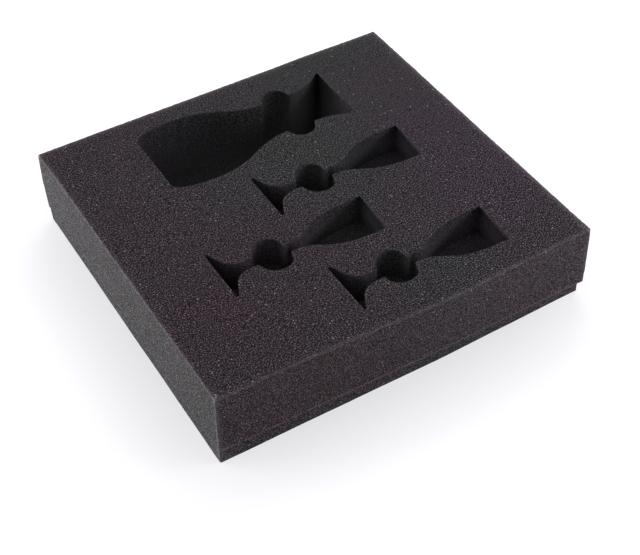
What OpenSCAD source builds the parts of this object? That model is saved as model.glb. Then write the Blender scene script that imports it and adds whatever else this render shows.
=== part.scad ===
// Foam insert for a presentation case. A thick slab of open-cell foam has pockets for a
// carafe and three small goblets lying on their sides, and is glued onto a thinner base
// sheet. The carafe's pocket goes right through the slab, so the sheet is its floor.
// X runs along the front face, Y points to the back face, Z points up.
// The origin is at the middle of the underside.

/* [Slab] */
// Width of the slab along its front face
slab_w = 240; // [215:1:320]
// Depth of the slab from its back face to its front corners
slab_d = 229; // [222:1:300]
// Thickness of the slab
slab_t = 41; // [30:1:70]
// How far the front face bulges forward
bulge = 4; // [0:0.5:8]
// Place of the bulge's peak to the right of the middle
bulge_at = 20; // [-60:1:60]
// Distance from the peak at which the bulge has fallen to half
bulge_spread = 50; // [20:1:80]

/* [Base sheet] */
// Thickness of the sheet under the slab
base_t = 9.5; // [4:0.5:25]
// How far the sheet's front right corner stands back from the slab's front
base_front_step = 2.5; // [0:0.5:6]
// How far the sheet stops short of the slab's right face
base_right_step = 1.5; // [0:0.5:8]
// How far the sheet stops short of the slab's back face
base_back_step = 2; // [0:0.5:6]

/* [Carafe pocket] */
// Length of the carafe's pocket from its base to its mouth
carafe_l = 129; // [118:1:150]
// Width across the carafe's flat base
carafe_base_w = 48; // [36:1:60]
// Width across the carafe's belly
carafe_belly_w = 63; // [50:1:68]
// Distance from the carafe's base to its belly
carafe_belly_at = 27; // [20:1:34]
// Length of the carafe's shoulder, from belly to neck
carafe_shoulder_l = 57; // [45:1:60]
// Width across the carafe's neck
carafe_neck_w = 31.5; // [20:0.5:40]
// Length over which the carafe flares out to its mouth
carafe_flare_l = 29; // [20:1:31]
// Width across the carafe's mouth
carafe_mouth_w = 48.5; // [40:0.5:60]
// Width of the finger slot across the neck
slot_w = 19; // [14:0.5:24]
// Length of the finger slot
slot_l = 49; // [40:1:60]
// Distance from the carafe's base to the middle of the finger slot
slot_at = 93; // [88:1:98]
// Foam left between the carafe's belly and the back face
back_wall = 14; // [8:0.5:20]

/* [Goblet pockets] */
// Depth of a goblet's pocket
goblet_depth = 20; // [12:0.5:26]
// Width across the goblet's foot
foot_w = 38.5; // [30:0.5:42]
// Thickness of the foot's rim
foot_edge = 1.5; // [1:0.5:4]
// Distance from the foot's underside to where the stem is straight
foot_run = 18; // [14:0.5:21]
// Width of the stem
stem_w = 6.5; // [4:0.5:10]
// Distance from the foot's underside to where the bowl starts
stem_l = 42.5; // [42:0.5:50]
// Width across the bowl
bowl_w = 31; // [24:0.5:36]
// Length over which the bowl swells to its full width
bowl_swell_l = 50; // [40:1:56]
// Length of the straight part of the bowl at its rim
bowl_rim_l = 7.5; // [2:0.5:14]
// Width of the finger hole across the stem
finger_w = 19.5; // [15:0.5:21]
// Length of the finger hole
finger_l = 27; // [22:0.5:34]
// Distance from the foot's underside to the middle of the finger hole
finger_at = 32; // [30:0.5:34]

/* [Layout] */
// Foam left between the carafe's belly and the nearest foot
carafe_wall = 11.5; // [5:0.5:14]
// Foam left between one goblet's foot and the next one's bowl
goblet_wall = 9.5; // [4:0.5:11]
// How far the middle goblet lies to the left of the other two
stagger = 53.5; // [48:0.5:60]
// How far the goblets as a group lie to the right of the middle
group_shift = 1; // [-4:0.5:4]

/* [Hidden] */
$fn = 64;

slab_colour = [0.23, 0.21, 0.22];
sheet_colour = [0.25, 0.23, 0.24];

// Straight pieces in each curve of a pocket, and along the front face
curve_steps = 12;
front_steps = 24;
// How far a cut runs past the face that it opens
overrun = 1;

// How far each curve sets off straight from its first point and comes in straight to its
// last one, as [along, across]
foot_leave = [4, -7];
foot_arrive = [13, 0];
bowl_leave = [21.5, 0];
bowl_arrive = [35, 0];
base_leave = [1.7, 4.2];
base_arrive = [17.3, 0];
shoulder_leave = [28.5, 0];
shoulder_arrive = [24.5, 0];
flare_leave = [10, 0];
flare_arrive = [12, 8];

back_y = (slab_d + bulge) / 2;
front_y = back_y - slab_d;
left_x = -slab_w / 2;
right_x = slab_w / 2;
top_z = base_t + slab_t;

goblet_l = stem_l + bowl_swell_l + bowl_rim_l;
goblet_pitch = foot_w / 2 + goblet_wall + bowl_w / 2;
carafe_y = back_y - back_wall - carafe_belly_w / 2;
first_goblet_y = carafe_y - carafe_belly_w / 2 - carafe_wall - foot_w / 2;
// The middle of each goblet's foot, from the back row to the front row
goblet_feet = [
    for (row = [0:2])
        [group_shift - goblet_l / 2 + stagger * (row == 1 ? -0.5 : 0.5),
         first_goblet_y - row * goblet_pitch]
];

// Points of a cubic curve from a to b
function curve(a, leave, arrive, b) = [
    for (i = [0:curve_steps])
        let (t = i / curve_steps, u = 1 - t)
            u^3 * a + 3 * u^2 * t * (a + leave) + 3 * u * t^2 * (b - arrive) + t^3 * b
];

// A closed outline from one side of it, mirrored in the X axis
function both_sides(side) = concat(
    side,
    [for (i = [len(side) - 1:-1:0]) [side[i].x, -side[i].y]]
);

// How far the front face stands forward at x
function bulge_by(x) = bulge / (1 + ((x - bulge_at) / bulge_spread)^2);

goblet_side = concat(
    [[0, foot_w / 2]],
    curve([foot_edge, foot_w / 2], foot_leave, foot_arrive, [foot_run, stem_w / 2]),
    curve([stem_l, stem_w / 2], bowl_leave, bowl_arrive, [stem_l + bowl_swell_l, bowl_w / 2]),
    [[goblet_l, bowl_w / 2]]
);

carafe_belly = [carafe_belly_at, carafe_belly_w / 2];
carafe_neck = [carafe_belly_at + carafe_shoulder_l, carafe_neck_w / 2];
carafe_side = concat(
    curve([0, carafe_base_w / 2], base_leave, base_arrive, carafe_belly),
    curve(carafe_belly, shoulder_leave, shoulder_arrive, carafe_neck),
    curve([carafe_l - carafe_flare_l, carafe_neck_w / 2], flare_leave, flare_arrive,
          [carafe_l, carafe_mouth_w / 2])
);

// A round-ended hole for the fingers, long in Y
module finger_hole(w, l) {
    square([w, l - w], center = true);
    for (side = [-1, 1])
        translate([0, side * (l - w) / 2])
            circle(d = w);
}

module goblet_outline() {
    polygon(both_sides(goblet_side));
    translate([finger_at, 0])
        finger_hole(finger_w, finger_l);
}

module carafe_outline() {
    polygon(both_sides(carafe_side));
    translate([slot_at, 0])
        finger_hole(slot_w, slot_l);
}

module slab_outline() {
    polygon(concat(
        [for (i = [0:front_steps])
            let (x = left_x + slab_w * i / front_steps)
                [x, front_y - bulge_by(x)]],
        [[right_x, back_y], [left_x, back_y]]
    ));
}

// The sheet follows the slab's front corner line as far as the bulge and then slants back
module sheet_outline() {
    polygon([
        [left_x, front_y],
        [bulge_at, front_y],
        [right_x - base_right_step, front_y + base_front_step],
        [right_x - base_right_step, back_y - base_back_step],
        [left_x, back_y - base_back_step]
    ]);
}

module pocket_slab() {
    color(slab_colour)
    difference() {
        translate([0, 0, base_t])
            linear_extrude(slab_t)
                slab_outline();
        translate([-carafe_l / 2, carafe_y, base_t - overrun])
            linear_extrude(slab_t + 2 * overrun)
                carafe_outline();
        for (foot = goblet_feet)
            translate([foot.x, foot.y, top_z - goblet_depth])
                linear_extrude(goblet_depth + overrun)
                    goblet_outline();
    }
}

module base_sheet() {
    color(sheet_colour)
    linear_extrude(base_t)
        sheet_outline();
}

pocket_slab();
base_sheet();
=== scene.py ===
# Foam insert for a presentation case: a charcoal slab with pockets for a carafe and three
# goblets, glued onto a thinner base sheet of the same foam.
import math

import bmesh
import bpy
import numpy as np
from mathutils import Matrix, Vector, kdtree, noise
from mathutils.geometry import delaunay_2d_cdt


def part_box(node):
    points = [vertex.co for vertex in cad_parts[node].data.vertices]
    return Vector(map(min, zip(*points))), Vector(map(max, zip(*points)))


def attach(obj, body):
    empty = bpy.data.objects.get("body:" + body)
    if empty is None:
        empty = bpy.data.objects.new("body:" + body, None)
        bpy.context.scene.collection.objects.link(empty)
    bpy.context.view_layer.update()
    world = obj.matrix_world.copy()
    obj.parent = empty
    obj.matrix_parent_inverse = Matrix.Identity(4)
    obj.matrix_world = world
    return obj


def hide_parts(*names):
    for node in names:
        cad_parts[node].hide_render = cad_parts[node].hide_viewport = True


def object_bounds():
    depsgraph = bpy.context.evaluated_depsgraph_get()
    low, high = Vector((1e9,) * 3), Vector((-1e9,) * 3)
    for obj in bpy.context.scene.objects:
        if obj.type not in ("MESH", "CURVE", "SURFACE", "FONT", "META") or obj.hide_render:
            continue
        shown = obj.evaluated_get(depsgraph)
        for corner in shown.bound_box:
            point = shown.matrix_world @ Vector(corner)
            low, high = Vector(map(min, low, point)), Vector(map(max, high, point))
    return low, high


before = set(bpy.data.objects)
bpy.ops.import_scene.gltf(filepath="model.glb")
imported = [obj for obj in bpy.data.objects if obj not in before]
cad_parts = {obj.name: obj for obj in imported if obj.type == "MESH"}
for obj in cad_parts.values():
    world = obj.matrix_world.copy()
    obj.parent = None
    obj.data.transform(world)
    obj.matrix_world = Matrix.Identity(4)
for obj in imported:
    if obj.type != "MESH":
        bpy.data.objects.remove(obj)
cadLow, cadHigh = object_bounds()
print("frame loaded:", ", ".join(sorted(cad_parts)))

mm = 0.001     # the frame counts in metres


def hexColour(code):
    # an sRGB hex colour as the linear colour that the shaders take
    parts = [int(code[i:i + 2], 16) / 255 for i in (1, 3, 5)]
    linear = [p / 12.92 if p <= 0.04045 else ((p + 0.055) / 1.055) ** 2.4 for p in parts]
    return (*linear, 1.0)


def addNode(tree, kind, inputs=None, **settings):
    # one node with its settings, its input values and its links
    node = tree.nodes.new(kind)
    for name, value in settings.items():
        setattr(node, name, value)
    for name, value in (inputs or {}).items():
        if isinstance(value, bpy.types.NodeSocket):
            tree.links.new(value, node.inputs[name])
        else:
            node.inputs[name].default_value = value
    return node


def newMaterial(name):
    # a material whose node tree is still empty
    material = bpy.data.materials.new(name)
    material.use_nodes = True
    material.node_tree.nodes.clear()
    return material


cameraSetup = {
    "azimuth": 29.535,       # degrees, swung from +Y towards +X
    "lookDown": 44.615,      # degrees under the horizon
    "roll": -1.794,          # degrees
    "distance": 797.4,       # mm from the aim
    "aim": (-16.9, -42.6, -0.2),  # mm from the middle of the insert
    "lens": 78.07,           # mm
    "sensor": 36.0,          # mm
}


def makeCamera(setup):
    data = bpy.data.cameras.new("camera")
    data.lens = setup["lens"]
    data.sensor_width = setup["sensor"]
    data.clip_start = 0.01
    data.clip_end = 50
    turn = math.radians(setup["azimuth"])
    down = math.radians(setup["lookDown"])
    level = math.cos(down)
    look = Vector((math.sin(turn) * level, math.cos(turn) * level, -math.sin(down)))
    aim = (cadLow + cadHigh) / 2 + Vector(setup["aim"]) * mm
    camera = bpy.data.objects.new("camera", data)
    bpy.context.scene.collection.objects.link(camera)
    camera.location = aim - look * setup["distance"] * mm
    upright = look.to_track_quat("-Z", "Y").to_matrix()
    roll = Matrix.Rotation(math.radians(setup["roll"]), 3, "Z")
    camera.rotation_euler = (upright @ roll).to_euler()
    bpy.context.scene.camera = camera


makeCamera(cameraSetup)
print("camera set")


def cubic(start, leave, arrive, end, steps=24):
    # a curve that sets off along leave and comes in along arrive
    t = np.linspace(0, 1, steps + 1)[:, None]
    start, end = np.array(start, float), np.array(end, float)
    nearStart, nearEnd = start + leave, end - arrive
    return ((1 - t) ** 3 * start + 3 * (1 - t) ** 2 * t * nearStart
            + 3 * (1 - t) * t ** 2 * nearEnd + t ** 3 * end)


def openFingerHole(side, shape, steps=120, apart=0.05):
    # lifts one side of a pocket over the round-ended hole for the fingers
    radius = shape["fingerWidth"] / 2
    turn = np.linspace(0, math.pi, steps + 1)
    along = shape["fingerAt"] - radius * np.cos(turn)
    across = shape["fingerLength"] / 2 - radius + radius * np.sin(turn)
    hole = np.stack([along, across], 1)
    hole = hole[hole[:, 1] > np.interp(hole[:, 0], side[:, 0], side[:, 1])]
    ends = [[x, np.interp(x, side[:, 0], side[:, 1])] for x in (hole[0, 0], hole[-1, 0])]
    before = side[side[:, 0] < hole[0, 0] - apart]
    after = side[side[:, 0] > hole[-1, 0] + apart]
    return np.vstack([before, ends[:1], hole, ends[1:], after])


def bothSides(side):
    # closes an outline over the X axis, anticlockwise
    return np.vstack([side, side[::-1] * (1, -1)])[::-1]


def spaceOut(outline, softness, spacing, turnPerStep=0.3, fine=0.15):
    # even points along a closed outline, its corners eased, and closer together where it turns
    closed = np.vstack([outline, outline[:1]])
    along = np.concatenate([[0], np.cumsum(np.hypot(*np.diff(closed, axis=0).T))])
    count = int(along[-1] / fine)
    at = np.linspace(0, along[-1], count, endpoint=False)
    points = np.stack([np.interp(at, along, closed[:, k]) for k in (0, 1)], 1)
    wave = np.fft.fftfreq(count, along[-1] / count)[:, None]
    ease = np.exp(-2 * (math.pi * wave * softness) ** 2)
    points = np.fft.ifft(np.fft.fft(points, axis=0) * ease, axis=0).real
    ahead = np.roll(points, -1, 0) - points
    heading = np.unwrap(np.arctan2(ahead[:, 1], ahead[:, 0]))
    length = np.hypot(*ahead.T)
    fullTurns = round((heading[-1] - heading[0]) / math.tau) * math.tau
    turning = np.abs(np.diff(heading, append=heading[:1] + fullTurns))
    steps = np.concatenate([[0], np.cumsum(np.maximum(length / spacing, turning / turnPerStep))])
    total = int(math.ceil(steps[-1]))
    pick = np.interp(np.linspace(0, steps[-1], total, endpoint=False), steps, np.arange(count + 1))
    wrapped = np.vstack([points, points[:1]])
    return np.stack([np.interp(pick, np.arange(count + 1), wrapped[:, k]) for k in (0, 1)], 1)


def outward(outline):
    # unit normals of an anticlockwise outline, pointing out of it
    tangent = np.roll(outline, -1, 0) - np.roll(outline, 1, 0)
    tangent /= np.hypot(*tangent.T)[:, None]
    return np.stack([tangent[:, 1], -tangent[:, 0]], 1)


def isInside(points, outline):
    # 1 for each point that lies inside a closed outline, otherwise 0
    ahead = np.roll(outline, -1, 0)
    inside = np.zeros(len(points), bool)
    for (x0, y0), (x1, y1) in zip(outline, ahead):
        if y0 != y1:
            crosses = (points[:, 1] > y0) != (points[:, 1] > y1)
            inside ^= crosses & (points[:, 0] < x0 + (x1 - x0) * (points[:, 1] - y0) / (y1 - y0))
    return inside.astype(int)


# the way that a face was cut, as the number of its material
sliced, knifeCut = 0, 1
dieCut = glued = 2     # on the slab and on the base sheet


def startShell():
    # points and how worn each is, with its painted light and shade, faces and how each was cut, and the
    # painted shades in the pockets
    return {"points": [], "wearAndShading": [], "faces": [], "cut": [], "shades": []}


def addRing(shell, outline, z, wearAndShading=0.0):
    # gives the numbers of its points
    first = len(shell["points"])
    shell["points"] += [(x, y, z) for x, y in outline]
    shell["wearAndShading"] += [wearAndShading] * len(outline)
    return list(range(first, first + len(outline)))


def bridge(shell, ringA, ringB, cut):
    # a band of faces from one ring to the next
    count = len(ringA)
    for i in range(count):
        j = (i + 1) % count
        shell["faces"].append((ringA[i], ringA[j], ringB[j], ringB[i]))
        shell["cut"].append(cut)


def roomInside(outline, side, tightest=0.45, slope=0.5):
    # how far each point may be offset to one side before the ring would fold at a tight bend
    ahead = np.roll(outline, -1, 0) - outline
    step = np.hypot(*ahead.T)
    heading = np.arctan2(ahead[:, 1], ahead[:, 0])
    turn = (heading - np.roll(heading, 1) + math.pi) % math.tau - math.pi
    bend = turn / ((step + np.roll(step, 1)) / 2)
    room = tightest / np.maximum(-side * bend, 1e-6)
    count = len(outline)
    for i in list(range(count)) * 2:
        room[(i + 1) % count] = min(room[(i + 1) % count], room[i] + slope * step[i])
    for i in list(range(count - 1, -1, -1)) * 2:
        room[i] = min(room[i], room[(i + 1) % count] + slope * step[i])
    return room


def addSweep(shell, outline, sign, profile):
    # rings along a profile of (offset, height, wear with painted light and shade, cut), offset outwards
    # where sign is 1 and inwards where it is -1; gives the first and last ring
    room = {side: roomInside(outline, side) for side in (1, -1)}
    rings = []
    for out, z, wearAndShading, cut in profile:
        side = 1 if out * sign > 0 else -1
        reach = np.minimum(abs(out), room[side]) * side
        rings.append(addRing(shell, outline + outward(outline) * reach[:, None], z, wearAndShading))
    for a, b, (out, z, wearAndShading, cut) in zip(rings, rings[1:], profile[1:]):
        bridge(shell, a, b, cut)
    return rings[0], rings[-1]


def addCap(shell, rings, z, spacing, cut):
    # fills the space between closed rings with an even field of triangles
    rowHeight = spacing * 0.866
    clear = spacing * 0.55     # kept free of field points beside a ring
    flat = []
    edges = []
    known = []
    for ring in rings:
        start = len(flat)
        flat += [Vector(shell["points"][i][:2]) for i in ring]
        known += ring
        edges += [(start + i, start + (i + 1) % len(ring)) for i in range(len(ring))]
    near = kdtree.KDTree(len(flat))
    for i, p in enumerate(flat):
        near.insert((p.x, p.y, 0), i)
    near.balance()
    low = [min(p[k] for p in flat) for k in (0, 1)]
    high = [max(p[k] for p in flat) for k in (0, 1)]
    rows = int((high[1] - low[1]) / rowHeight) + 1
    columns = int((high[0] - low[0]) / spacing) + 1
    for row in range(rows):
        for column in range(columns):
            x = low[0] + (column + 0.5 * (row % 2)) * spacing
            y = low[1] + row * rowHeight
            if near.find((x, y, 0))[2] > clear and x < high[0] and y < high[1]:
                flat.append(Vector((x, y)))
                known.append(None)
    corners, _, faces, sources, _, _ = delaunay_2d_cdt(flat, edges, [], 0, 1e-6)
    middles = np.array([[sum(corners[i][k] for i in face) / 3 for k in (0, 1)] for face in faces])
    covered = np.zeros(len(faces), int)
    for ring in rings:
        covered += isInside(middles, np.array([shell["points"][i][:2] for i in ring]))
    for face, cover in zip(faces, covered):
        if cover % 2 == 0:
            continue
        corner = []
        for i in face:
            source = sources[i][0]
            if known[source] is None:
                known[source] = len(shell["points"])
                shell["points"].append((*flat[source], z))
                shell["wearAndShading"].append(0.0)
            corner.append(known[source])
        shell["faces"].append(tuple(corner))
        shell["cut"].append(cut)


def rimProfile(radius, z, up, wearAndShading, cut, fade, steps=4):
    # from the wall over a rounded edge onto the flat face, where the wear and painted light fade out
    # along pairs of (distance from the edge, share of them left)
    turns = [math.pi / 2 * i / steps for i in range(steps + 1)]
    edge = [(radius * (1 - math.cos(t)), z - up * radius * (1 - math.sin(t)), wearAndShading, cut) for t in turns]
    return edge + [(radius + run, z, wearAndShading * left, sliced) for run, left in fade]


def wallProfile(low, high, step, cut, shadingLow=0.0, shadingHigh=0.0):
    # straight up, where the wear and painted shading at its foot soon give way to those at its top;
    # only the carafe's wall has any, painted light low down and painted shade near the top
    count = max(2, round((high - low) / step))
    profile = []
    for i in range(count + 1):
        up = i / count
        wearAndShading = shadingHigh + (shadingLow - shadingHigh) * (1 - up) ** 2
        profile.append((0, low + (high - low) * up, wearAndShading, cut))
    return profile


def footProfile(radius, floor, wearAndShading, cut, steps=3):
    # from a pocket's floor over the rounded inner corner onto its wall
    turns = [math.pi / 2 * i / steps for i in range(steps + 1)]
    return [(radius * (math.sin(t) - 1), floor + radius * (1 - math.cos(t)), wearAndShading, cut) for t in turns]


def finishShell(shell, name, isSlab):
    # the soft foam's mesh, painted at each point with how worn it is, its painted light and shade, and
    # how dyed it is
    points = [Vector(p) for p in shell["points"]]
    wearAndShading = [wearAndShadingAt(p, w, shell["shades"]) for p, w in zip(points, shell["wearAndShading"])]
    mesh = bpy.data.meshes.new(name)
    mesh.from_pydata([relax(p, w, isSlab) * mm for p, w in zip(points, wearAndShading)], [], shell["faces"])
    painted = {
        "wearAndPaintedShading": wearAndShading,
        "dyeRed": [patchwork(p, dye["red"]) for p in points],
        "dyeViolet": [patchwork(p, dye["violet"]) for p in points],
        "poreDepth": [patchwork(p, dye["pores"]) for p in points],
    }
    for layer, values in painted.items():
        mesh.attributes.new(layer, "FLOAT", "POINT").data.foreach_set("value", values)
    mesh.polygons.foreach_set("material_index", shell["cut"])
    build = bmesh.new()
    build.from_mesh(mesh)
    bmesh.ops.recalc_face_normals(build, faces=build.faces)
    openEdges = sum(1 for e in build.edges if not e.is_manifold)
    if build.calc_volume(signed=True) < 0:
        bmesh.ops.reverse_faces(build, faces=build.faces)
    build.to_mesh(mesh)
    build.free()
    mesh.shade_smooth()
    piece = bpy.data.objects.new(name, mesh)
    bpy.context.scene.collection.objects.link(piece)
    print(name, "-", len(mesh.polygons), "faces,", openEdges, "open edges")
    return piece


noise.seed_set(3)     # without it the faces' drift would differ from run to run
slabLow, slabHigh = [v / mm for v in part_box("pocket_slab")]
sheetLow, sheetHigh = [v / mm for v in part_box("base_sheet")]

relaxed = {
    "frontZone": 22.0,     # how far into the block the front and back faces' moves reach, in mm
    "sideZone": 30.0,      # and the side faces'
    "bulge": 4.0,          # the front face stands forward at its top edge
    "bulgeAt": 20.0,       # right of the middle
    "bulgeSpread": 50.0,   # half as far forward at this distance
    "bulgeBelow": 0.28,    # share of it left at the slab's lower edge
    "leanPower": 1.2,      # 1 for an even slope, over 1 for one that is steepest at the top
    "topSwell": 0.5,       # the sliced top has risen
    "seamSag": 0.5,        # the glue line has sunk at the outside
    "seamZone": 4.0,
    "lip": 0.45,           # the slab's lower edge hangs over it at the front and left
    "lipHeight": 1.5,
    "flatZone": 0.5,       # up to this above the glue the level faces have to stay flat,
    "flatDrift": 0.2,      # so only this share of the drift up or down is left
    "foot": 0.5,           # the block spreads at its foot
    "leftTwist": 0.35,     # more at the front than at the back
    "leftBow": 0.6,        # the left face's back end stands out half way up
    "bowPower": 1.3,       # a little above half way where this is over 1
    "leftCorner": 0.7,     # and so does its top corner
    "cornerZone": 12.0,
    "backBow": 0.2,
    "rightBow": 0.25,      # the right face's front end stands out half way up
    "rightHollow": 0.35,   # its top edge falls in near the front
    "hollowPower": 0.5,    # half way along where this is 1
    "rightBack": 0.3,      # and stands out towards the back
    "swell": 0.22,         # slow rise and fall of every face
    "swellLength": 38.0,
    "swellAt": Vector((3.1, 7.7, 1.3)),    # where in the noise it starts
    "ripple": 0.07,        # the knife's chatter
    "rippleLength": 4.5,
    "rippleAt": Vector((11, 2, 5)),
    "tear": 0.2,           # ragged edges
    "tearLength": 1.6,
    "tearZone": (0.8, 0.9),    # how near a face it starts and is full, where 1 is on it
}
frontY = slabLow.y + relaxed["bulge"]     # the front face at its corners

# where the cut foam has crept: x, y, reach, and how far along x and y, all in mm
crept = [
    (62, 97, 14, 0.0, 2.0),      # the back corner of the carafe's mouth
    (66, 46, 8, 0.8, 1.6),       # and the front one
    (28, 97, 12, 0.0, 0.8),      # its finger hole
    (-10, -87, 13, 0.0, -1.2),   # the stem nearest the front
    (13, 1, 11, 2.0, -0.2),      # the front halves of the small finger holes
    (-40.5, -43, 11, 2.0, -0.2),
    (13, -87, 11, 2.0, -0.4),
]


def bulgeBy(x):
    # how far forward the front face stands at its top edge
    return relaxed["bulge"] / (1 + ((x - relaxed["bulgeAt"]) / relaxed["bulgeSpread"]) ** 2)


def share(value, low, high):
    # how far along from low to high a value lies, from 0 to 1
    return max(0.0, min(1.0, (value - low) / (high - low)))


def relax(p, wearAndShading, isSlab):
    # moves a point of the exact solid to where the soft foam lets it go
    height = share(p.z, sheetLow.z, slabHigh.z)
    slabHeight = share(p.z, slabLow.z, slabHigh.z)
    back = share(p.y, frontY, slabHigh.y)
    atFront = share(p.y, slabLow.y + relaxed["frontZone"], slabLow.y)
    atBack = share(p.y, slabHigh.y - relaxed["frontZone"], slabHigh.y)
    atLeft = share(p.x, slabLow.x + relaxed["sideZone"], slabLow.x)
    atRight = share(p.x, slabHigh.x - relaxed["sideZone"], slabHigh.x)
    moved = p.copy()

    lip = 0.0
    if isSlab:
        lean = (1 - relaxed["bulgeBelow"]) * (1 - slabHeight) ** relaxed["leanPower"]
        moved.y += bulgeBy(p.x) * lean * atFront
        lip = relaxed["lip"] * math.exp(-((p.z - slabLow.z) / relaxed["lipHeight"]) ** 2)
        for x, y, reach, alongX, alongY in crept:
            pull = math.exp(-((p.x - x) ** 2 + (p.y - y) ** 2) / reach ** 2)
            moved.x += alongX * pull
            moved.y += alongY * pull
    moved.y -= (relaxed["foot"] * (1 - height) ** 2 + lip * share(p.x, slabHigh.x, 0)) * atFront
    moved.y += relaxed["backBow"] * atBack

    spread = relaxed["foot"] + relaxed["leftTwist"] * (1 - 2 * back)
    out = spread * (1 - height) + lip * (1 - back)
    out += relaxed["leftBow"] * back ** 2 * math.sin(math.pi * height ** relaxed["bowPower"])
    out += relaxed["leftCorner"] * height * math.exp((p.y - slabHigh.y) / relaxed["cornerZone"])
    moved.x -= out * atLeft
    out = relaxed["rightBow"] * math.sin(math.pi * height) * (1 - back)
    out -= relaxed["rightHollow"] * math.sin(math.pi * back ** relaxed["hollowPower"]) * height
    out += relaxed["rightBack"] * back * height
    moved.x += out * atRight

    moved.z += relaxed["topSwell"] * slabHeight
    outside = max(atFront, atBack, atLeft, atRight)
    fromSeam = (p.z - slabLow.z) / relaxed["seamZone"]
    moved.z -= relaxed["seamSag"] * outside * math.exp(-fromSeam ** 2)

    drift = noise.noise_vector(p / relaxed["swellLength"] + relaxed["swellAt"]) * relaxed["swell"]
    drift += noise.noise_vector(p / relaxed["rippleLength"] + relaxed["rippleAt"]) * relaxed["ripple"]
    ragged = relaxed["tear"] * share(wearAndShading, 0, 1) * share(outside, *relaxed["tearZone"])
    drift += noise.noise_vector(p / relaxed["tearLength"]) * ragged
    if p.z < slabLow.z + relaxed["flatZone"]:
        drift.z *= relaxed["flatDrift"]
    return moved + drift


# how much paler or darker the foam is painted: its ragged edges, partly worn and partly a painted
# highlight, and painted light and shade on the top and in the pockets
wornAndShaded = {
    "front": 1.0,          # how pale the cut edges of the front face are, ragged and with a painted highlight where they catch the light
    "frontZone": 2.5,      # mm behind it that still count
    "elsewhere": 0.4,
    "upright": 1.1,        # the upright edges are paler all the way up, ragged and with a painted highlight
    "uprightReach": 2.0,
    "foot": 0.8,           # the front left one is paler at its foot
    "footReach": 9.0,
    "shadesBelow": 0.1,    # the pockets' shades leave out this much below the top
    "topZone": 0.7,        # and the top's own paler marks, with its painted light, are on this much of it
    "left": 0.5,           # the top is paler beside the left face
    "leftReach": 2.0,
    "far": 4.2,            # a painted highlight, a pale fringe along the back and right top edges
    "farReach": 1.3,
    "rightHand": 0.08,     # painted light: the top is paler towards the right, where more light falls
    "rightReach": 12.0,
}


def wearAndShadingAt(p, edge, shades):
    # how much paler the foam is painted at a point than a fresh cut, for its ragged edges and for
    # painted light, and how much darker for painted shade, where edge is 1 on a cut edge
    atFront = p.y < frontY + wornAndShaded["frontZone"]
    wearAndShading = edge * (wornAndShaded["front"] if atFront else wornAndShaded["elsewhere"])
    # painted shade and painted light on the pockets' walls
    if p.z < slabHigh.z - wornAndShaded["shadesBelow"]:
        for middle, reach, strength in shades:
            away = [(p[k] - middle[k]) / reach[k] for k in range(3)]
            wearAndShading += strength * math.exp(-sum(a * a for a in away))
    corners = [(x, y) for x in (slabLow.x, slabHigh.x) for y in (frontY, slabHigh.y)]
    toUpright = min(math.hypot(p.x - x, p.y - y) for x, y in corners)
    wearAndShading += wornAndShaded["upright"] * math.exp(-(toUpright / wornAndShaded["uprightReach"]) ** 2)
    toFoot = (p - Vector((slabLow.x, frontY, sheetLow.z))).length
    wearAndShading += wornAndShaded["foot"] * math.exp(-(toFoot / wornAndShaded["footReach"]) ** 2)
    if p.z > slabHigh.z - wornAndShaded["topZone"]:
        toRight = slabHigh.x - p.x
        toFar = min(toRight, slabHigh.y - p.y)
        wearAndShading += wornAndShaded["far"] * math.exp(-toFar / wornAndShaded["farReach"])
        wearAndShading += wornAndShaded["left"] * math.exp(-(p.x - slabLow.x) / wornAndShaded["leftReach"])
        wearAndShading += wornAndShaded["rightHand"] * math.exp(-toRight / wornAndShaded["rightReach"])
    return wearAndShading


# the dye and how deep the pores look: a level to start from, how much it wanders, whether it
# is taken out at the left, and patches of x, y, reach in mm and strength
dye = {
    "red": {
        "level": 0.34, "sway": 0.25, "greysAtLeft": True,
        "patches": [
            (-78, -50, 62, 0.6), (-60, -50, 16, -0.5), (15, 25, 50, -0.35), (45, 100, 70, -0.25),
            (-110, 70, 60, 0.2), (25, -100, 35, -0.3)]},
    "violet": {
        "level": 0.12, "sway": 0.1, "greysAtLeft": True,
        "patches": [(92, -50, 38, 0.8), (92, 15, 30, 0.7), (-55, 0, 35, 0.2)]},
    "pores": {
        "level": 1.0, "sway": 0.1, "greysAtLeft": False,
        "patches": [
            (85, 60, 50, -0.6), (40, 125, 45, -0.45), (-60, 125, 35, -0.4), (105, 0, 30, -0.15)]},
}


# where the dye is taken out: on the left face this is painted light, its plain grey standing for the
# white light on that side; round the front left upright edge it is only thinner
greyed = {
    "left": 0.02,          # what is left of it on the left face
    "leftZone": 0.3,       # mm in from the face that count
    "edge": 0.5,           # share of it left round the front left upright edge
    "edgeReach": 7.0,      # mm, times the next value at the foot
    "edgeFoot": 1.2,
    "edgeHeight": 60.0,    # mm over which that value falls by 1
}


def patchwork(p, layer, wander=45.0):
    # one painted value at a point, from 0 to 1
    level = layer["level"] + layer["sway"] * noise.noise(p / wander)
    for x, y, reach, strength in layer["patches"]:
        level += strength * math.exp(-((p.x - x) ** 2 + (p.y - y) ** 2) / reach ** 2)
    if layer["greysAtLeft"]:
        narrowed = greyed["edgeFoot"] - share(p.z, 0, greyed["edgeHeight"])
        # painted light: the left face gets none of the dye, for the white light that falls on it
        if p.x < slabLow.x + greyed["leftZone"]:
            level = greyed["left"]
        elif math.hypot(p.x - slabLow.x, p.y - frontY) < greyed["edgeReach"] * narrowed:
            level *= greyed["edge"]
    return max(0.0, min(1.0, level))


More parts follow.
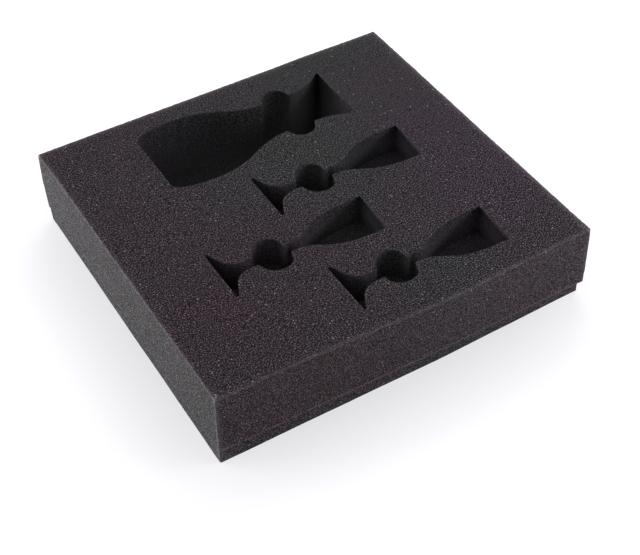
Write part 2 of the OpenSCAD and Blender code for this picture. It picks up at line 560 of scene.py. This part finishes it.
slabShape = {
    "rim": 0.6,            # rounding of the cut edges
    # how the paleness of their edges fades, partly wear and partly a painted highlight, as mm from the
    # edge and the share left
    "topFade": [(0.5, 0.45), (1.7, 0.12), (3.0, 0.02), (4.8, 0.0)],
    "lowFade": [(0.3, 0.4), (0.9, 0.0)],
    # their paleness, partly wear and partly a painted highlight where the edges catch the light
    "topWearAndShading": 1.0,
    "lowWearAndShading": 1.3,
    "paleHeight": 1.4,     # how far up the wall it shows
    "pocketRim": 0.2,      # the die leaves the pockets' edges sharp
    "pocketFade": [(0.6, 0.0)],
    "belowRim": 0.9,       # mm below those edges without a row of points,
    "aboveFillet": 0.8,    # and above the rounding at a wall's foot
    "wallShadingLow": 3.2,    # painted light: the deep carafe wall is painted paler low down,
    "wallShadingHigh": -1.4,  # and painted shade makes it darker near the top, flattening how the light falls down it
    "cornerEase": 0.4,     # softness of the corners seen from above
    "pocketEase": 0.55,
    "spacing": 1.0,        # mm between points along an edge
    "rowStep": 3.4,        # mm between rows down a wall
    "field": 3.0,          # mm between points on a flat face
    "hiddenField": 6.0,    # and on the glued one
    "floorFillet": 0.6,
    "glueFillet": 0.7,     # glue squeezed out along the foot of the carafe's wall
    "glueWear": 1.0,       # which is as pale as a torn edge
    "gobletDepth": 20.0,   # the carafe's pocket goes right through
    "carafeWall": 14.0,    # foam behind the carafe
}

# painted shade and painted light on the pockets' walls, darker where less light falls and paler where
# more does: place from the middle of the pocket's end at the top, reach along each axis, both in mm,
# and strength
gobletShades = [
    ((-32, 13, 1), (32, 9, 7), -0.75),     # top of the back wall
    ((-16, 14, -12), (22, 8, 6), 0.5),     # its middle
    ((0, -2, 1), (4, 13, 4), -0.4),        # top of the end wall
    ((0, -1, -12), (4, 13, 7), 1.9),       # its middle
    ((0, 15.5, -9), (5, 4, 16), -0.9),     # its back corner
    ((-58.3, 4.2, -7), (2, 2.8, 8), 1.7),  # the finger hole's corner with the stem
    ((-54.5, 3, -8), (3.2, 3, 7), -1.1),   # the stem beyond it
    ((-75, 9, -11), (5, 5, 6), 1.0),       # the finger hole opposite
    ((-78, 6, 0), (4, 6, 4), -0.6),        # and its top
]
carafeShades = [
    ((0, -3, 0), (5, 18, 5), -0.6),        # top of the end wall
    ((0, 0, -20), (5, 18, 14), 1.6),       # its middle
    ((0, 25, -16), (6, 5, 26), -1.2),      # its back corner
    ((-19, 17, -20), (12, 7, 14), 1.3),    # the back wall of the throat
]

carafeShape = {
    "length": 129.0,
    "baseWidth": 48.0,
    "bellyWidth": 63.0,
    "bellyAt": 27.0,
    "shoulder": 57.0,
    "neckWidth": 31.5,
    "flare": 29.0,
    "mouthWidth": 48.5,
    "baseCurve": ((1.7, 4.2), (17.3, 0)),    # how each curve sets off and comes in
    "neckCurve": ((28.5, 0), (24.5, 0)),
    "mouthCurve": ((10, 0), (12, 8)),
    "fingerAt": 93.0,
    "fingerWidth": 19.0,
    "fingerLength": 49.0,
}

gobletShape = {
    "footWidth": 38.5,
    "footEdge": 1.5,
    "footRun": 18.0,
    "stemWidth": 6.5,
    "stemLength": 42.5,
    "bowlWidth": 31.0,
    "bowlSwell": 50.0,
    "rimLength": 7.5,
    "footCurve": ((4, -7), (13, 0)),
    "bowlCurve": ((21.5, 0), (35, 0)),
    "fingerAt": 32.0,
    "fingerWidth": 19.5,
    "fingerLength": 27.0,
    "wallToCarafe": 11.5,
    "wallBetween": 9.5,
    "stagger": 53.5,       # the middle one lies this far to the left of the others
    "shift": 1.0,          # and the three together this far to the right
}


def carafeOutline(shape):
    belly = (shape["bellyAt"], shape["bellyWidth"] / 2)
    neck = (shape["bellyAt"] + shape["shoulder"], shape["neckWidth"] / 2)
    throat = (shape["length"] - shape["flare"], shape["neckWidth"] / 2)
    mouth = (shape["length"], shape["mouthWidth"] / 2)
    side = np.vstack([
        cubic((0, shape["baseWidth"] / 2), *shape["baseCurve"], belly),
        cubic(belly, *shape["neckCurve"], neck)[1:],
        cubic(throat, *shape["mouthCurve"], mouth),
    ])
    return bothSides(openFingerHole(side, shape))


def gobletOutline(shape):
    foot, stem, bowl = shape["footWidth"] / 2, shape["stemWidth"] / 2, shape["bowlWidth"] / 2
    swellEnd = shape["stemLength"] + shape["bowlSwell"]
    side = np.vstack([
        [[0, foot]],
        cubic((shape["footEdge"], foot), *shape["footCurve"], (shape["footRun"], stem)),
        cubic((shape["stemLength"], stem), *shape["bowlCurve"], (swellEnd, bowl)),
        [[swellEnd + shape["rimLength"], bowl]],
    ])
    return bothSides(openFingerHole(side, shape))


def addShades(shell, shades, end):
    # puts a pocket's shades beside the middle of its end
    for place, reach, strength in shades:
        shell["shades"].append(([a + b for a, b in zip(place, end)], reach, strength))


def addSides(shell, shape, steps=60):
    # the four knife-cut faces, with the front one bulging
    front = [(x, frontY - bulgeBy(x)) for x in np.linspace(slabLow.x, slabHigh.x, steps + 1)]
    around = np.array(front + [(slabHigh.x, slabHigh.y), (slabLow.x, slabHigh.y)])
    around = spaceOut(around, shape["cornerEase"], shape["spacing"])
    rim = shape["rim"]
    shown = rim + shape["paleHeight"]
    under = rimProfile(rim, slabLow.z, -1, shape["lowWearAndShading"], knifeCut, shape["lowFade"])
    wall = wallProfile(slabLow.z + shown, slabHigh.z - shown, shape["rowStep"], knifeCut)
    over = rimProfile(rim, slabHigh.z, 1, shape["topWearAndShading"], knifeCut, shape["topFade"])
    return addSweep(shell, around, -1, under[::-1] + wall + over)


def addPocket(shell, shape, outline, foot, wallShading=(0.0, 0.0)):
    # a die-cut wall from the top of its rounded foot to its mouth
    wallLow = foot[-1][1] + shape["aboveFillet"]
    wallHigh = slabHigh.z - shape["pocketRim"] - shape["belowRim"]
    wall = wallProfile(wallLow, wallHigh, shape["rowStep"], dieCut, *wallShading)
    edge = rimProfile(shape["pocketRim"], slabHigh.z, 1, 0.0, dieCut, shape["pocketFade"], steps=2)
    return addSweep(shell, outline, 1, foot + wall + edge)


def addCarafe(shell, shape, middleY):
    # right through the slab
    outline = spaceOut(carafeOutline(carafeShape), shape["pocketEase"], shape["spacing"])
    outline = outline + (-carafeShape["length"] / 2, middleY)
    foot = footProfile(shape["glueFillet"], slabLow.z, shape["glueWear"], dieCut)
    wallShading = (shape["wallShadingLow"], shape["wallShadingHigh"])
    addShades(shell, carafeShades, (carafeShape["length"] / 2, middleY, slabHigh.z))
    return addPocket(shell, shape, outline, foot, wallShading)


def addGoblets(shell, shape, firstY):
    # three in a row, one behind the other, the middle one staggered
    length = gobletShape["stemLength"] + gobletShape["bowlSwell"] + gobletShape["rimLength"]
    pitch = gobletShape["footWidth"] / 2 + gobletShape["wallBetween"] + gobletShape["bowlWidth"] / 2
    single = spaceOut(gobletOutline(gobletShape), shape["pocketEase"], shape["spacing"])
    floor = slabHigh.z - shape["gobletDepth"]
    foot = footProfile(shape["floorFillet"], floor, 0.0, dieCut)
    mouths = []
    for row in range(3):
        aside = gobletShape["stagger"] / 2 * (-1 if row == 1 else 1)
        footX = gobletShape["shift"] - length / 2 + aside
        middleY = firstY - row * pitch
        floorRing, mouth = addPocket(shell, shape, single + (footX, middleY), foot)
        addCap(shell, [floorRing], floor, shape["field"], dieCut)
        addShades(shell, gobletShades, (footX + length, middleY, slabHigh.z))
        mouths.append(mouth)
    return mouths


def makeSlab(shape):
    shell = startShell()
    underRing, topRing = addSides(shell, shape)
    carafeY = slabHigh.y - shape["carafeWall"] - carafeShape["bellyWidth"] / 2
    carafeUnder, carafeTop = addCarafe(shell, shape, carafeY)
    gobletY = carafeY - carafeShape["bellyWidth"] / 2
    gobletY -= gobletShape["wallToCarafe"] + gobletShape["footWidth"] / 2
    gobletTops = addGoblets(shell, shape, gobletY)
    addCap(shell, [topRing, carafeTop] + gobletTops, slabHigh.z, shape["field"], sliced)
    addCap(shell, [underRing, carafeUnder], slabLow.z, shape["hiddenField"], sliced)
    return finishShell(shell, "pocketSlabFoam", True)


slab = makeSlab(slabShape)


sheetShape = {
    "rim": 0.5,
    "seamRim": 0.9,        # its upper edge has sunk in, so that the glue line shows dark
    # the sheet's lower edge is paler, partly wear and partly a painted highlight
    "rimWearAndShading": 0.3,
    # painted shade: the sheet's upper edge is painted darker along the glue line
    "seamShade": -0.4,
    "fade": [(0.3, 0.4), (0.9, 0.0)],
    "cornerEase": 0.4,
    "spacing": 1.2,
    "rowStep": 2.4,
    "clear": 0.6,          # mm without a row of points beside each rounded edge
    "field": 4.0,
    "hiddenField": 8.0,    # on the underside
    "frontStep": 2.5,      # its front right corner stands back from the slab's
}


def makeSheet(shape):
    rim, seamRim = shape["rim"], shape["seamRim"]
    low, high = sheetLow.z, sheetHigh.z
    shell = startShell()
    outline = np.array([
        (sheetLow.x, sheetLow.y),
        (relaxed["bulgeAt"], sheetLow.y),
        (sheetHigh.x, sheetLow.y + shape["frontStep"]),
        (sheetHigh.x, sheetHigh.y),
        (sheetLow.x, sheetHigh.y),
    ])
    outline = spaceOut(outline, shape["cornerEase"], shape["spacing"])
    under = rimProfile(rim, low, -1, shape["rimWearAndShading"], knifeCut, shape["fade"])
    wallLow, wallHigh = low + rim + shape["clear"], high - seamRim - shape["clear"]
    wall = wallProfile(wallLow, wallHigh, shape["rowStep"], knifeCut)
    over = rimProfile(seamRim, high, 1, shape["seamShade"], knifeCut, shape["fade"])
    underRing, topRing = addSweep(shell, outline, -1, under[::-1] + wall + over)
    addCap(shell, [topRing], high, shape["field"], glued)
    addCap(shell, [underRing], low, shape["hiddenField"], sliced)
    return finishShell(shell, "baseSheetFoam", False)


sheet = makeSheet(sheetShape)


foamLook = {
    "poreDepth": 4.2,     # the higher, the darker the pores and the paler the struts
    "bigPore": 1.0,       # mm across the few burst ones
    "hollow": 0.04,       # share of them that gape
    "hollowDepth": 0.8,   # how much darker those are
    "glint": 0.008,       # share of them with a painted glint, a pale fleck for a skin catching the light
    "glintTone": 0.36,    # how light that painted glint is
    "glintEdge": (0.45, 0.25),    # where it starts and is full, 0 being a bubble's middle
    "wearAndShading": 0.75,         # how much lighter the worn edges and painted light make it, and how much darker the painted shade makes it
    "streak": 1.2,        # mm between the streaks that the die has drawn down the walls
    "streakLength": 18.0,
    "bump": 0.45,
    "bumpHeight": 0.3,    # share of a pore's width that it is deep
    "roughness": 0.92,
    "ior": 1.5,
    "specular": 0.1,      # hardly any, as the pores swallow it
}

# For each way that a face was cut: its charcoal where the dye reads plain, red and violet, how
# strongly the pores show, the mm between them (the real ones are half that, too fine to show),
# how far their pattern is turned from the faces, and how strong the die's streaks are.
foamCuts = {
    # opened cleanly, with every pore showing
    "polyurethaneFoamSliced": {
        "plain": "#373738", "red": "#3d3138", "violet": "#3e343e",
        "contrast": 1.0, "pore": 0.75, "turn": 0.0, "streaks": 0.0},
    # dragged over a little by the knife, so that the pores look shallower
    "polyurethaneFoamKnifeCut": {
        "plain": "#383738", "red": "#413339", "violet": "#3f353e",
        "contrast": 0.75, "pore": 0.6, "turn": 0.6, "streaks": 0.0},
    # pressed smoother by the die
    "polyurethaneFoamDieCut": {
        "plain": "#3d3d3f", "red": "#41393e", "violet": "#3f3940",
        "contrast": 0.35, "pore": 0.7, "turn": 0.6, "streaks": 0.15},
    # cut as the slab's sides are, from a sheet with less red in it
    "polyurethaneFoamSheetCut": {
        "plain": "#373638", "red": "#40373d", "violet": "#3c373b",
        "contrast": 0.75, "pore": 0.6, "turn": 0.6, "streaks": 0.0},
    # filled by the glue
    "polyurethaneFoamGlued": {
        "plain": "#3b3b3d", "red": "#3b393d", "violet": "#3b393d",
        "contrast": 0.3, "pore": 0.7, "turn": 0.6, "streaks": 0.0},
}


def topShare(part):
    # Map Range limits that pick out this part of evenly spread values, with a soft start
    return {"From Min": 1 - 1.5 * part, "From Max": 1 - 0.5 * part}


def addPores(tree, where, poreDepth, look, cut):
    # pores and struts, as twice the noise to a power, so that a few struts stand out pale; the
    # gain brings their mean back to 1, and the turn keeps the noise's grid off the faces
    turn = cut["turn"]
    turned = addNode(tree, "ShaderNodeMapping", {
        "Vector": where, "Rotation": (turn, turn * 0.7, turn)})
    pores = addNode(tree, "ShaderNodeTexNoise", {
        "Vector": turned.outputs[0], "Scale": 1 / (cut["pore"] * mm), "Detail": 0.0}).outputs["Fac"]
    depth = look["poreDepth"] * cut["contrast"]
    variance = 0.054     # of twice the noise
    gain = 1 / (1 + variance * depth * (depth - 1) / 2)
    double = addNode(tree, "ShaderNodeMath", {0: pores, 1: 2.0}, operation="MULTIPLY")
    power = addNode(tree, "ShaderNodeMath", {0: double.outputs[0], 1: depth}, operation="POWER")
    swing = addNode(tree, "ShaderNodeMath", {
        0: power.outputs[0], 1: gain, 2: -1.0}, operation="MULTIPLY_ADD")
    tone = addNode(tree, "ShaderNodeMath", {
        0: swing.outputs[0], 1: poreDepth, 2: 1.0}, operation="MULTIPLY_ADD")
    return pores, tone


def addStreaks(tree, where, tone, look, strength):
    # light and dark streaks that run up and down
    stretch = [1 / (look[length] * mm) for length in ("streak", "streak", "streakLength")]
    drawn = addNode(tree, "ShaderNodeVectorMath", {0: where, 1: stretch}, operation="MULTIPLY")
    drawn = addNode(tree, "ShaderNodeTexNoise", {
        "Vector": drawn.outputs[0], "Scale": 1.0, "Detail": 0.0})
    drawn = addNode(tree, "ShaderNodeMapRange", {
        "Value": drawn.outputs["Fac"], "To Min": 1 - strength, "To Max": 1 + strength})
    return addNode(tree, "ShaderNodeMath", {
        0: tone.outputs[0], 1: drawn.outputs[0]}, operation="MULTIPLY")


def addBursts(tree, where, tone, look, contrast):
    # burst bubbles: a few gape dark, and a few carry a painted glint, plain grey whatever the dye
    burst = addNode(tree, "ShaderNodeTexVoronoi", {
        "Vector": where, "Scale": 1 / (look["bigPore"] * mm)})
    chance = addNode(tree, "ShaderNodeSeparateColor", {"Color": burst.outputs["Color"]})
    gape = addNode(tree, "ShaderNodeMapRange", {
        "Value": chance.outputs["Red"], **topShare(look["hollow"]),
        "To Min": 1.0, "To Max": 1 - look["hollowDepth"] * contrast})
    tone = addNode(tree, "ShaderNodeMath", {
        0: tone.outputs[0], 1: gape.outputs[0]}, operation="MULTIPLY")
    paintedGlint = addNode(tree, "ShaderNodeMapRange", {
        "Value": chance.outputs["Green"], **topShare(look["glint"]),
        "To Min": 0.0, "To Max": look["glintTone"] * contrast})
    glintStart, glintFull = look["glintEdge"]
    middle = addNode(tree, "ShaderNodeMapRange", {
        "Value": burst.outputs["Distance"], "From Min": glintFull, "From Max": glintStart,
        "To Min": 1.0, "To Max": 0.0})
    paintedGlint = addNode(tree, "ShaderNodeMath", {
        0: paintedGlint.outputs[0], 1: middle.outputs[0]}, operation="MULTIPLY")
    return tone, paintedGlint


def makeFoam(name, look, cut):
    # Open-cell polyurethane foam: every cut opens bubbles, so the surface is a field of dark
    # pores and pale struts with no shine of its own, and painted glints where a skin would catch the
    # light.
    material = newMaterial(name)
    tree = material.node_tree
    where = addNode(tree, "ShaderNodeTexCoord").outputs["Object"]
    painted = {}
    for layer in ("wearAndPaintedShading", "dyeRed", "dyeViolet", "poreDepth"):
        node = addNode(tree, "ShaderNodeAttribute", attribute_name=layer, attribute_type="GEOMETRY")
        painted[layer] = node.outputs["Fac"]

    pores, tone = addPores(tree, where, painted["poreDepth"], look, cut)
    if cut["streaks"]:
        tone = addStreaks(tree, where, tone, look, cut["streaks"])
    tone, paintedGlint = addBursts(tree, where, tone, look, cut["contrast"])
    # worn edges and painted light are paler, and painted shade is darker
    tone = addNode(tree, "ShaderNodeMath", {
        0: painted["wearAndPaintedShading"], 1: look["wearAndShading"], 2: tone.outputs[0]}, operation="MULTIPLY_ADD")

    plain, red, violet = [hexColour(cut[dyed]) for dyed in ("plain", "red", "violet")]
    colour = addNode(tree, "ShaderNodeMix", {
        0: painted["dyeRed"], 6: plain, 7: red}, data_type="RGBA")
    colour = addNode(tree, "ShaderNodeMix", {
        0: painted["dyeViolet"], 6: colour.outputs[2], 7: violet}, data_type="RGBA")
    colour = addNode(tree, "ShaderNodeVectorMath", {
        0: colour.outputs[2], 1: tone.outputs[0]}, operation="MULTIPLY")
    colour = addNode(tree, "ShaderNodeVectorMath", {
        0: colour.outputs[0], 1: paintedGlint.outputs[0]}, operation="ADD")

    bump = addNode(tree, "ShaderNodeBump", {
        "Height": pores, "Strength": look["bump"] * cut["contrast"],
        "Distance": cut["pore"] * mm * look["bumpHeight"]})
    shader = addNode(tree, "ShaderNodeBsdfPrincipled", {
        "Base Color": colour.outputs[0], "Roughness": look["roughness"], "IOR": look["ior"],
        "Specular IOR Level": look["specular"], "Normal": bump.outputs["Normal"]})
    addNode(tree, "ShaderNodeOutputMaterial", {"Surface": shader.outputs[0]})
    return material


foams = {name: makeFoam(name, foamLook, cut) for name, cut in foamCuts.items()}
for cut in ("Sliced", "KnifeCut", "DieCut"):
    slab.data.materials.append(foams["polyurethaneFoam" + cut])
for cut in ("Sliced", "SheetCut", "Glued"):
    sheet.data.materials.append(foams["polyurethaneFoam" + cut])
print("foam materials made")


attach(slab, "root")
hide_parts("pocket_slab")
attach(sheet, "root")
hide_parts("base_sheet")
print("slab and sheet tied to the frame")


studio = {
    "floorSize": 6.0,               # metres
    "floor": "#f2f1f3",
    "seen": (0.41, 0.41, 0.42),     # how much of the light and shadow the eye sees on it
    "glow": (0.975, 0.965, 1.0),
    "glowNear": 0.61,               # strength of its glow along the insert's foot, kept low there to paint a shadow round it
    "glowFar": 1.0,                 # and out where it has run into the white
    "glowReach": 1.95,              # how far out that is, in half sizes of the insert
    "sky": 0.39,                    # strength of the even light from all round
}

# power in watts, and in metres width and height, place, and the point that it faces
lamps = {
    "keySoftbox": {
        "power": 18.1, "size": (0.8, 0.16), "place": (-0.9, 0.6, 0.10), "aim": (0, 0.05, 0.02)},
    "frontFill": {
        "power": 3.5, "size": (0.5, 0.3), "place": (0.6, -0.45, 0.22), "aim": (0.05, -0.05, 0.03)},
    "backFill": {
        "power": 8.2, "size": (1.0, 0.6), "place": (0.7, 0.9, 0.9), "aim": (0, 0, 0.05)},
}


def whiteForTheEye(tree):
    # 1 for camera, glossy and transmission rays, so that the background reads white to each
    path = addNode(tree, "ShaderNodeLightPath")
    both = addNode(tree, "ShaderNodeMath", {
        0: path.outputs["Is Camera Ray"], 1: path.outputs["Is Glossy Ray"]}, operation="MAXIMUM")
    return addNode(tree, "ShaderNodeMath", {
        0: both.outputs[0], 1: path.outputs["Is Transmission Ray"]}, operation="MAXIMUM").outputs[0]


def makePaper(setup):
    # Matt paper gives back the light evenly, with no shine of its own. The eye sees only part of
    # the shadow on it, under a glow that runs into the white all round; the glow is dimmest along the
    # insert's sides, which paints a shadow that is deepest there and fades off its corners.
    material = newMaterial("mattPaper")
    tree = material.node_tree
    paper = addNode(tree, "ShaderNodeBsdfDiffuse", {"Color": hexColour(setup["floor"])})
    thin = addNode(tree, "ShaderNodeBsdfDiffuse", {"Color": (*setup["seen"], 1)})
    # the fourth root of x**4 + y**4, in half sizes of the insert, is 1 all along a rounded square
    # that touches its sides
    where = addNode(tree, "ShaderNodeTexCoord").outputs["Object"]
    halves = (1 / cadHigh.x, 1 / cadHigh.y, 0)
    scaled = addNode(tree, "ShaderNodeVectorMath", {0: where, 1: halves}, operation="MULTIPLY")
    squared = addNode(tree, "ShaderNodeVectorMath", {
        0: scaled.outputs[0], 1: scaled.outputs[0]}, operation="MULTIPLY")
    length = addNode(tree, "ShaderNodeVectorMath", {0: squared.outputs[0]}, operation="LENGTH")
    distance = addNode(tree, "ShaderNodeMath", {0: length.outputs["Value"]}, operation="SQRT")
    strength = addNode(tree, "ShaderNodeMapRange", {
        "Value": distance.outputs[0], "From Min": 1.0, "From Max": setup["glowReach"],
        "To Min": setup["glowNear"], "To Max": setup["glowFar"]})
    glow = addNode(tree, "ShaderNodeEmission", {
        "Color": (*setup["glow"], 1), "Strength": strength.outputs[0]})
    seen = addNode(tree, "ShaderNodeAddShader", {0: thin.outputs[0], 1: glow.outputs[0]})
    mix = addNode(tree, "ShaderNodeMixShader", {
        0: whiteForTheEye(tree), 1: paper.outputs[0], 2: seen.outputs[0]})
    addNode(tree, "ShaderNodeOutputMaterial", {"Surface": mix.outputs[0]})
    return material


def makeFloor(setup):
    half = setup["floorSize"] / 2
    mesh = bpy.data.meshes.new("floor")
    corners = [(-half, -half), (half, -half), (half, half), (-half, half)]
    mesh.from_pydata([(x, y, cadLow.z) for x, y in corners], [], [(0, 1, 2, 3)])
    mesh.materials.append(makePaper(setup))
    floor = bpy.data.objects.new("floor", mesh)
    bpy.context.scene.collection.objects.link(floor)


def makeWorld(setup):
    world = bpy.data.worlds.new("studio")
    bpy.context.scene.world = world
    world.use_nodes = True
    tree = world.node_tree
    tree.nodes.clear()
    light = addNode(tree, "ShaderNodeBackground", {"Color": (1, 1, 1, 1), "Strength": setup["sky"]})
    white = addNode(tree, "ShaderNodeBackground", {"Color": (1, 1, 1, 1), "Strength": 1.0})
    mix = addNode(tree, "ShaderNodeMixShader", {
        0: whiteForTheEye(tree), 1: light.outputs[0], 2: white.outputs[0]})
    addNode(tree, "ShaderNodeOutputWorld", {"Surface": mix.outputs[0]})


def makeLamp(name, setup):
    data = bpy.data.lights.new(name, "AREA")
    data.shape = "RECTANGLE"
    data.size, data.size_y = setup["size"]
    data.energy = setup["power"]
    lamp = bpy.data.objects.new(name, data)
    lamp.location = setup["place"]
    look = Vector(setup["aim"]) - Vector(setup["place"])
    lamp.rotation_euler = look.to_track_quat("-Z", "Y").to_euler()
    lamp.visible_camera = False
    bpy.context.scene.collection.objects.link(lamp)


makeFloor(studio)
makeWorld(studio)
for lampName, lampSetup in lamps.items():
    makeLamp(lampName, lampSetup)
bpy.context.scene.view_settings.view_transform = "Standard"
print("floor and light made")
